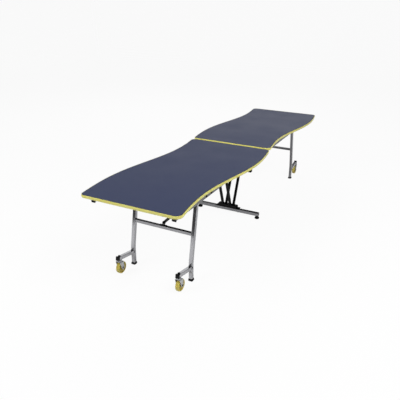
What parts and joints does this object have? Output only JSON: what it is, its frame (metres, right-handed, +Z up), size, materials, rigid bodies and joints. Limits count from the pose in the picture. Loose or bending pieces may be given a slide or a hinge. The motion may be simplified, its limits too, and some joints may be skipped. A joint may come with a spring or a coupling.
{
  "type": "mobile folding table",
  "caption": "Mobile folding table with two wavy-edged leaves hinged on a centre pedestal; wheeled leg frames and control links fold the leaves upright for rolling and storage.",
  "frame": {"origin": "on the floor under the middle of the table", "axes": "+X along the table's length, +Y across it, +Z up"},
  "size_m": [3.216, 0.864, 0.7],
  "materials": {
    "chrome": "bright plated steel tube",
    "black_paint": "black powder coat",
    "black_plastic": "black moulded plastic",
    "laminate": "slate blue laminate with a soft gloss",
    "edge": "bright yellow edge moulding",
    "board": "wood board",
    "tread": "amber caster wheel",
    "zinc": "bright zinc plated steel"
  },
  "bodies": {
    "pedestal": {"foot_bar": "chrome", "glide_front": "black_plastic", "glide_back": "black_plastic", "strut_base": "black_paint", "left_hinge_tube": "black_paint", "left_strut_front": "black_paint", "left_strut_back": "black_paint", "right_hinge_tube": "black_paint", "right_strut_front": "black_paint", "right_strut_back": "black_paint"},
    "left_leaf": {"left_leaf_board": "board", "left_leaf_laminate": "laminate", "left_edge_moulding": "edge", "left_bulge_support": "black_paint", "left_hinge_rod": "zinc", "left_rail_front": "chrome", "left_rail_cap_front": "black_plastic", "left_leg_bolt_front": "zinc", "left_rail_back": "chrome", "left_rail_cap_back": "black_plastic", "left_leg_bolt_back": "zinc"},
    "left_legs": {"left_crossbar": "chrome", "left_leg_front": "chrome", "left_foot_cap_front": "black_plastic", "left_arm_cap_front": "black_plastic", "left_leg_back": "chrome", "left_foot_cap_back": "black_plastic", "left_arm_cap_back": "black_plastic"},
    "left_link": {"left_control_link": "black_paint"},
    "left_caster_front": {"left_caster_fork_front": "zinc", "left_caster_axle_front": "zinc"},
    "left_wheel_front": {"left_caster_wheel_front": "tread"},
    "left_caster_back": {"left_caster_fork_back": "zinc", "left_caster_axle_back": "zinc"},
    "left_wheel_back": {"left_caster_wheel_back": "tread"},
    "right_leaf": {"right_leaf_board": "board", "right_leaf_laminate": "laminate", "right_edge_moulding": "edge", "right_bulge_support": "black_paint", "right_hinge_rod": "zinc", "right_rail_front": "chrome", "right_rail_cap_front": "black_plastic", "right_leg_bolt_front": "zinc", "right_rail_back": "chrome", "right_rail_cap_back": "black_plastic", "right_leg_bolt_back": "zinc"},
    "right_legs": {"right_crossbar": "chrome", "right_leg_front": "chrome", "right_foot_cap_front": "black_plastic", "right_arm_cap_front": "black_plastic", "right_leg_back": "chrome", "right_foot_cap_back": "black_plastic", "right_arm_cap_back": "black_plastic"},
    "right_link": {"right_control_link": "black_paint"},
    "right_caster_front": {"right_caster_fork_front": "zinc", "right_caster_axle_front": "zinc"},
    "right_wheel_front": {"right_caster_wheel_front": "tread"},
    "right_caster_back": {"right_caster_fork_back": "zinc", "right_caster_axle_back": "zinc"},
    "right_wheel_back": {"right_caster_wheel_back": "tread"}
  },
  "joints": [
    {"name": "left_leaf_fold", "type": "hinge", "parent": "pedestal", "child": "left_leaf", "pos_m": [-0.225, 0, 0.6557], "axis": [0, -1, 0], "range_deg": [0, 90]},
    {"name": "left_legs_fold", "type": "hinge", "parent": "left_leaf", "child": "left_legs", "pos_m": [-1.138, 0, 0.6557], "axis": [0, -1, 0], "range_deg": [-80, 0]},
    {"name": "left_link_swing", "type": "hinge", "parent": "pedestal", "child": "left_link", "pos_m": [-0.225, 0, 0.4341], "axis": [0, -1, 0], "range_deg": [0, 88]},
    {"name": "left_swivel_front", "type": "hinge", "parent": "left_legs", "child": "left_caster_front", "pos_m": [-1.40968, -0.254, 0.12989], "axis": [0.1736, 0, 0.9848], "continuous": true},
    {"name": "left_wheel_spin_front", "type": "hinge", "parent": "left_caster_front", "child": "left_wheel_front", "pos_m": [-1.39177, -0.254, 0.05869], "axis": [0, 1, 0], "continuous": true},
    {"name": "left_swivel_back", "type": "hinge", "parent": "left_legs", "child": "left_caster_back", "pos_m": [-1.40968, 0.254, 0.12989], "axis": [0.1736, 0, 0.9848], "continuous": true},
    {"name": "left_wheel_spin_back", "type": "hinge", "parent": "left_caster_back", "child": "left_wheel_back", "pos_m": [-1.39177, 0.254, 0.05869], "axis": [0, 1, 0], "continuous": true},
    {"name": "right_leaf_fold", "type": "hinge", "parent": "pedestal", "child": "right_leaf", "pos_m": [0.225, 0, 0.6557], "axis": [0, 1, 0], "range_deg": [0, 90]},
    {"name": "right_legs_fold", "type": "hinge", "parent": "right_leaf", "child": "right_legs", "pos_m": [1.138, 0, 0.6557], "axis": [0, 1, 0], "range_deg": [-80, 0]},
    {"name": "right_link_swing", "type": "hinge", "parent": "pedestal", "child": "right_link", "pos_m": [0.225, 0, 0.4341], "axis": [0, 1, 0], "range_deg": [0, 88]},
    {"name": "right_swivel_front", "type": "hinge", "parent": "right_legs", "child": "right_caster_front", "pos_m": [1.40968, -0.254, 0.12989], "axis": [-0.1736, 0, 0.9848], "continuous": true},
    {"name": "right_wheel_spin_front", "type": "hinge", "parent": "right_caster_front", "child": "right_wheel_front", "pos_m": [1.39177, -0.254, 0.05869], "axis": [0, 1, 0], "continuous": true},
    {"name": "right_swivel_back", "type": "hinge", "parent": "right_legs", "child": "right_caster_back", "pos_m": [1.40968, 0.254, 0.12989], "axis": [-0.1736, 0, 0.9848], "continuous": true},
    {"name": "right_wheel_spin_back", "type": "hinge", "parent": "right_caster_back", "child": "right_wheel_back", "pos_m": [1.39177, 0.254, 0.05869], "axis": [0, 1, 0], "continuous": true}
  ],
  "couplings": [
    {"joint": "left_legs_fold", "follows": "left_leaf_fold", "ratio": -0.8888},
    {"joint": "left_link_swing", "follows": "left_leaf_fold", "ratio": 0.9774},
    {"joint": "right_leaf_fold", "follows": "left_leaf_fold", "ratio": 1},
    {"joint": "right_legs_fold", "follows": "left_leaf_fold", "ratio": -0.8888},
    {"joint": "right_link_swing", "follows": "left_leaf_fold", "ratio": 0.9774}
  ]
}
